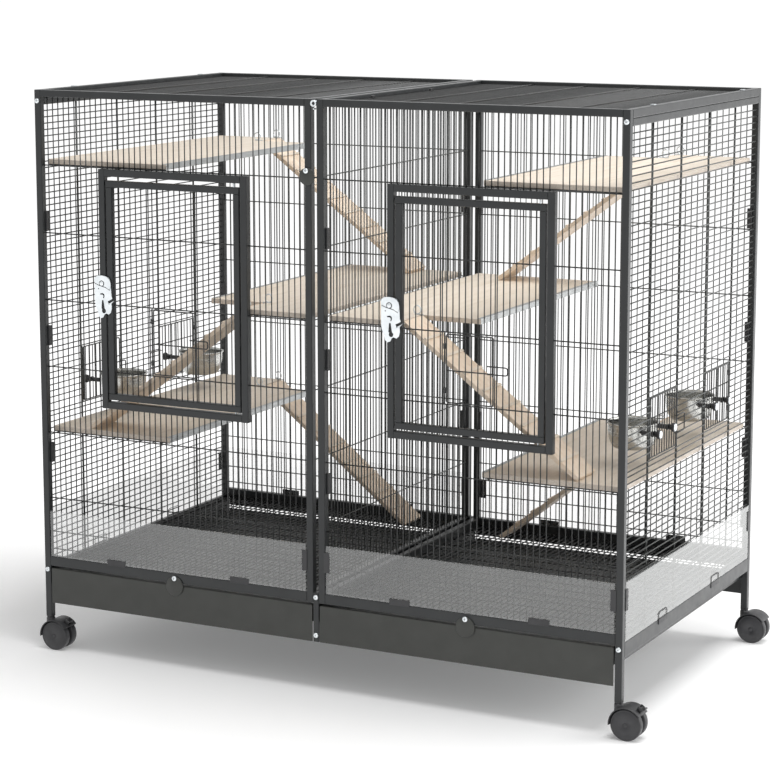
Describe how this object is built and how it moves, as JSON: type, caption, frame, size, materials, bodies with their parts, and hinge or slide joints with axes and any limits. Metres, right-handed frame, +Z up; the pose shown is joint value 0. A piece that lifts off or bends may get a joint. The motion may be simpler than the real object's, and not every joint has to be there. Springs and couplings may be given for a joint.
{
  "type": "ferret cage",
  "caption": "Wide wheeled wire cage of two joined compartments with front doors, feeding hatches, wooden shelves and ramps, splash guards and litter drawers.",
  "frame": {"origin": "on the floor under the middle of the whole outline's box", "axes": "+X to the right seen from the front, +Y from the front doors to the back, +Z up"},
  "size_m": [1.3122, 0.738, 1.14],
  "materials": {
    "powder_coat": "satin powder coat, anthracite grey",
    "fascia_coat": "satin powder coat, olive grey",
    "grid_coat": "satin black coated wire",
    "zinc_steel": "bright galvanised or stainless",
    "pine_board": "pale clear-lacquered pine plywood",
    "ramp_wood": "clear-lacquered wood, slightly darker",
    "clear_plastic": "clear acrylic",
    "black_plastic": "matt moulded"
  },
  "bodies": {
    "frame": {"corner_posts": "powder_coat", "centre_posts": "powder_coat", "centre_legs": "powder_coat", "base_rails": "powder_coat", "roof_frames": "powder_coat", "side_panels": "powder_coat", "back_panels": "powder_coat", "front_panels": "powder_coat", "partition_panel": "powder_coat", "door_hinge_pins": "zinc_steel", "shelves": "pine_board", "shelf_edge_strips": "zinc_steel", "shelf_supports": "powder_coat", "ramp_hooks": "zinc_steel", "floor_grids": "grid_coat", "drawer_runners": "powder_coat", "splash_guards": "clear_plastic", "guard_clips": "black_plastic", "panel_connectors": "black_plastic", "frame_bolts": "zinc_steel", "leg_plugs": "black_plastic"},
    "door_left": {"door_left": "powder_coat"},
    "latch_left": {"door_latch_left": "zinc_steel"},
    "door_hatch_left": {"door_hatch_left": "powder_coat"},
    "door_right": {"door_right": "powder_coat"},
    "latch_right": {"door_latch_right": "zinc_steel"},
    "door_hatch_right": {"door_hatch_right": "powder_coat"},
    "side_hatch_left_front": {"side_hatch_left_front": "powder_coat", "bowl_left_front": "zinc_steel", "bowl_clamps_left_front": "black_plastic"},
    "side_hatch_left_back": {"side_hatch_left_back": "powder_coat", "bowl_left_back": "zinc_steel", "bowl_clamps_left_back": "black_plastic"},
    "side_hatch_right_front": {"side_hatch_right_front": "powder_coat", "bowl_right_front": "zinc_steel", "bowl_clamps_right_front": "black_plastic"},
    "side_hatch_right_back": {"side_hatch_right_back": "powder_coat", "bowl_right_back": "zinc_steel", "bowl_clamps_right_back": "black_plastic"},
    "drawer_left": {"drawer_left": "fascia_coat"},
    "drawer_right": {"drawer_right": "fascia_coat"},
    "drawer_button_left": {"drawer_button_left": "black_plastic"},
    "drawer_button_right": {"drawer_button_right": "black_plastic"},
    "post_button": {"post_button": "black_plastic"},
    "ramp_left_top": {"ramp_left_top": "ramp_wood"},
    "ramp_left_middle": {"ramp_left_middle": "ramp_wood"},
    "ramp_left_lower": {"ramp_left_lower": "ramp_wood"},
    "ramp_right_top": {"ramp_right_top": "ramp_wood"},
    "ramp_right_middle": {"ramp_right_middle": "ramp_wood"},
    "ramp_right_lower": {"ramp_right_lower": "ramp_wood"},
    "caster_swivel_front_left": {"caster_swivel_front_left": "black_plastic"},
    "caster_swivel_front_right": {"caster_swivel_front_right": "black_plastic"},
    "caster_swivel_back_left": {"caster_swivel_back_left": "black_plastic"},
    "caster_swivel_back_right": {"caster_swivel_back_right": "black_plastic"},
    "brake_lever_left": {"brake_lever_left": "black_plastic"},
    "brake_lever_right": {"brake_lever_right": "black_plastic"},
    "caster_wheels_front_left": {"caster_wheels_front_left": "black_plastic"},
    "caster_wheels_front_right": {"caster_wheels_front_right": "black_plastic"},
    "caster_wheels_back_left": {"caster_wheels_back_left": "black_plastic"},
    "caster_wheels_back_right": {"caster_wheels_back_right": "black_plastic"}
  },
  "joints": [
    {"name": "door_left_hinge", "type": "hinge", "parent": "frame", "child": "door_left", "pos_m": [-0.19787, -0.347, 0.747], "axis": [0, 0, 1], "range_deg": [0, 110]},
    {"name": "latch_left_pivot", "type": "hinge", "parent": "frame", "child": "latch_left", "pos_m": [-0.49588, -0.354, 0.762], "axis": [0, 1, 0], "range_deg": [0, 60]},
    {"name": "door_hatch_left_hinge", "type": "hinge", "parent": "door_left", "child": "door_hatch_left", "pos_m": [-0.38648, -0.347, 0.6515], "axis": [0, 0, -1], "range_deg": [0, 90]},
    {"name": "door_right_hinge", "type": "hinge", "parent": "frame", "child": "door_right", "pos_m": [0.43812, -0.347, 0.747], "axis": [0, 0, 1], "range_deg": [0, 110]},
    {"name": "latch_right_pivot", "type": "hinge", "parent": "frame", "child": "latch_right", "pos_m": [0.14012, -0.354, 0.762], "axis": [0, 1, 0], "range_deg": [0, 60]},
    {"name": "door_hatch_right_hinge", "type": "hinge", "parent": "door_right", "child": "door_hatch_right", "pos_m": [0.24952, -0.347, 0.6515], "axis": [0, 0, -1], "range_deg": [0, 90]},
    {"name": "side_hatch_left_front_hinge", "type": "hinge", "parent": "frame", "child": "side_hatch_left_front", "pos_m": [-0.64287, -0.2166, 0.547], "axis": [0, 0, 1], "range_deg": [0, 90]},
    {"name": "side_hatch_left_back_hinge", "type": "hinge", "parent": "frame", "child": "side_hatch_left_back", "pos_m": [-0.64287, 0.2166, 0.547], "axis": [0, 0, -1], "range_deg": [0, 90]},
    {"name": "side_hatch_right_front_hinge", "type": "hinge", "parent": "frame", "child": "side_hatch_right_front", "pos_m": [0.60313, -0.2166, 0.547], "axis": [0, 0, -1], "range_deg": [0, 90]},
    {"name": "side_hatch_right_back_hinge", "type": "hinge", "parent": "frame", "child": "side_hatch_right_back", "pos_m": [0.60313, 0.2166, 0.547], "axis": [0, 0, 1], "range_deg": [0, 90]},
    {"name": "drawer_left_slide", "type": "slide", "parent": "frame", "child": "drawer_left", "axis": [0, -1, 0], "range_m": [0, 0.45]},
    {"name": "drawer_right_slide", "type": "slide", "parent": "frame", "child": "drawer_right", "axis": [0, -1, 0], "range_m": [0, 0.45]},
    {"name": "drawer_button_left_turn", "type": "hinge", "parent": "frame", "child": "drawer_button_left", "pos_m": [-0.33787, -0.354, 0.183], "axis": [0, -1, 0], "range_deg": [0, 180]},
    {"name": "drawer_button_right_turn", "type": "hinge", "parent": "frame", "child": "drawer_button_right", "pos_m": [0.29812, -0.354, 0.183], "axis": [0, -1, 0], "range_deg": [0, 180]},
    {"name": "post_button_turn", "type": "hinge", "parent": "frame", "child": "post_button", "pos_m": [-0.03528, -0.354, 1.004], "axis": [0, -1, 0], "range_deg": [0, 180]},
    {"name": "ramp_left_top_hinge", "type": "hinge", "parent": "frame", "child": "ramp_left_top", "pos_m": [-0.47863, 0.28675, 0.995], "axis": [0, -1, 0], "range_deg": [0, 35]},
    {"name": "ramp_left_middle_hinge", "type": "hinge", "parent": "frame", "child": "ramp_left_middle", "pos_m": [-0.19412, -0.28675, 0.725], "axis": [0, 1, 0], "range_deg": [0, 35]},
    {"name": "ramp_left_lower_hinge", "type": "hinge", "parent": "frame", "child": "ramp_left_lower", "pos_m": [-0.47863, 0.28675, 0.455], "axis": [0, -1, 0], "range_deg": [0, 35]},
    {"name": "ramp_right_top_hinge", "type": "hinge", "parent": "frame", "child": "ramp_right_top", "pos_m": [0.43888, 0.28675, 0.995], "axis": [0, 1, 0], "range_deg": [0, 35]},
    {"name": "ramp_right_middle_hinge", "type": "hinge", "parent": "frame", "child": "ramp_right_middle", "pos_m": [0.15438, -0.28675, 0.725], "axis": [0, -1, 0], "range_deg": [0, 35]},
    {"name": "ramp_right_lower_hinge", "type": "hinge", "parent": "frame", "child": "ramp_right_lower", "pos_m": [0.43888, 0.28675, 0.455], "axis": [0, 1, 0], "range_deg": [0, 35]},
    {"name": "caster_front_left_swivel", "type": "hinge", "parent": "frame", "child": "caster_swivel_front_left", "pos_m": [-0.64287, -0.347, 0.068], "axis": [0, 0, 1], "continuous": true},
    {"name": "caster_front_right_swivel", "type": "hinge", "parent": "frame", "child": "caster_swivel_front_right", "pos_m": [0.60313, -0.347, 0.068], "axis": [0, 0, 1], "continuous": true},
    {"name": "caster_back_left_swivel", "type": "hinge", "parent": "frame", "child": "caster_swivel_back_left", "pos_m": [-0.64287, 0.347, 0.068], "axis": [0, 0, 1], "continuous": true},
    {"name": "caster_back_right_swivel", "type": "hinge", "parent": "frame", "child": "caster_swivel_back_right", "pos_m": [0.60313, 0.347, 0.068], "axis": [0, 0, 1], "continuous": true},
    {"name": "brake_lever_left_pivot", "type": "hinge", "parent": "caster_swivel_front_left", "child": "brake_lever_left", "pos_m": [-0.59988, -0.347, 0.05925], "axis": [0, 1, 0], "range_deg": [0, 20]},
    {"name": "brake_lever_right_pivot", "type": "hinge", "parent": "caster_swivel_front_right", "child": "brake_lever_right", "pos_m": [0.64612, -0.347, 0.05925], "axis": [0, 1, 0], "range_deg": [0, 20]},
    {"name": "caster_front_left_wheels", "type": "hinge", "parent": "caster_swivel_front_left", "child": "caster_wheels_front_left", "pos_m": [-0.62287, -0.347, 0.02975], "axis": [0, 1, 0], "continuous": true},
    {"name": "caster_front_right_wheels", "type": "hinge", "parent": "caster_swivel_front_right", "child": "caster_wheels_front_right", "pos_m": [0.62313, -0.347, 0.02975], "axis": [0, 1, 0], "continuous": true},
    {"name": "caster_back_left_wheels", "type": "hinge", "parent": "caster_swivel_back_left", "child": "caster_wheels_back_left", "pos_m": [-0.62287, 0.347, 0.02975], "axis": [0, 1, 0], "continuous": true},
    {"name": "caster_back_right_wheels", "type": "hinge", "parent": "caster_swivel_back_right", "child": "caster_wheels_back_right", "pos_m": [0.62313, 0.347, 0.02975], "axis": [0, 1, 0], "continuous": true}
  ]
}
